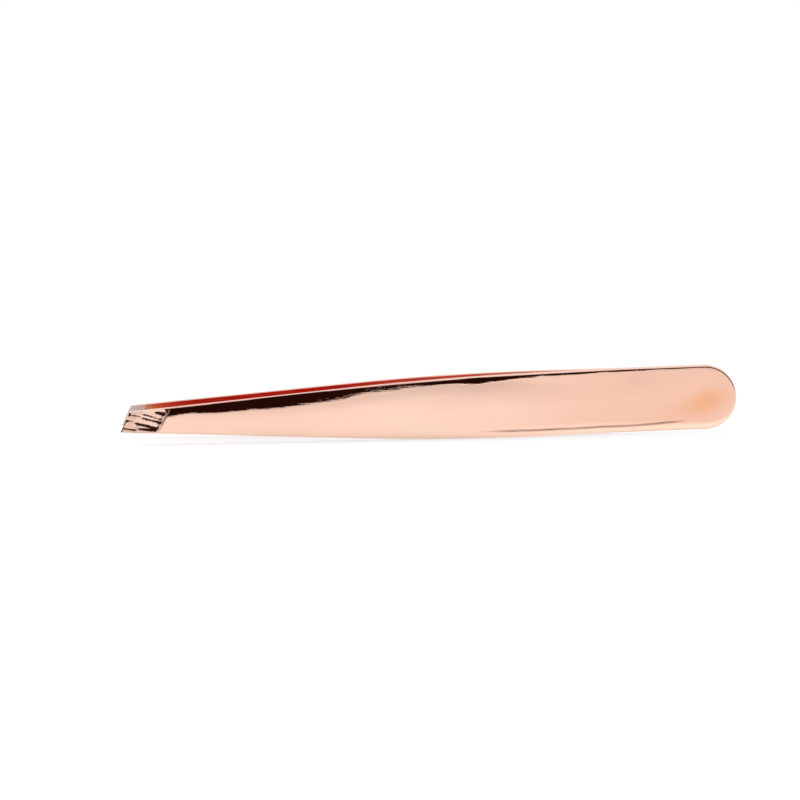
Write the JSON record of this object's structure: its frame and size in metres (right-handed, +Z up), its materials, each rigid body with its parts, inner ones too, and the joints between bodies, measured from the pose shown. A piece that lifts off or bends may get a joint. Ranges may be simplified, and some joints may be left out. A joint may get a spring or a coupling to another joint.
{
  "type": "slant tweezers",
  "caption": "Rose-gold mirror-finished slant tweezers: bowed spring steel arms welded at a rounded butt, tapering to a slanted ground gripping tip.",
  "frame": {"origin": "under the middle of the bounding box, on the surface that the tweezers stand on with their lower long edges", "axes": "+X along the tweezers from the tips to the butt, +Y from the front arm to the rear arm across the gap, +Z up across the arms' width; the arms mirror each other about Y = 0, and their centreline climbs 1.4 degrees towards the butt, where the tweezers balance on the curve of both lower edges"},
  "size_m": [0.095, 0.0094, 0.0105],
  "materials": {
    "rose_gold_mirror": "polished",
    "weld_steel": "satin"
  },
  "bodies": {
    "butt": {"front_arm_butt": "rose_gold_mirror", "rear_arm_butt": "rose_gold_mirror", "spot_welds": "weld_steel"},
    "front_blade": {"front_arm_blade": "rose_gold_mirror"},
    "rear_blade": {"rear_arm_blade": "rose_gold_mirror"}
  },
  "joints": [
    {"name": "front_arm_flex", "type": "hinge", "parent": "butt", "child": "front_blade", "pos_m": [0.01792, -0.00105, 0.00503], "axis": [0.0244, 0, -0.9997], "range_deg": [0, 3.36], "stiffness_Nm_per_rad": 5.3},
    {"name": "rear_arm_flex", "type": "hinge", "parent": "butt", "child": "rear_blade", "pos_m": [0.01792, 0.00105, 0.00503], "axis": [-0.0244, 0, 0.9997], "range_deg": [0, 3.36], "stiffness_Nm_per_rad": 5.3}
  ],
  "couplings": [
    {"joint": "rear_arm_flex", "follows": "front_arm_flex", "ratio": 1}
  ]
}
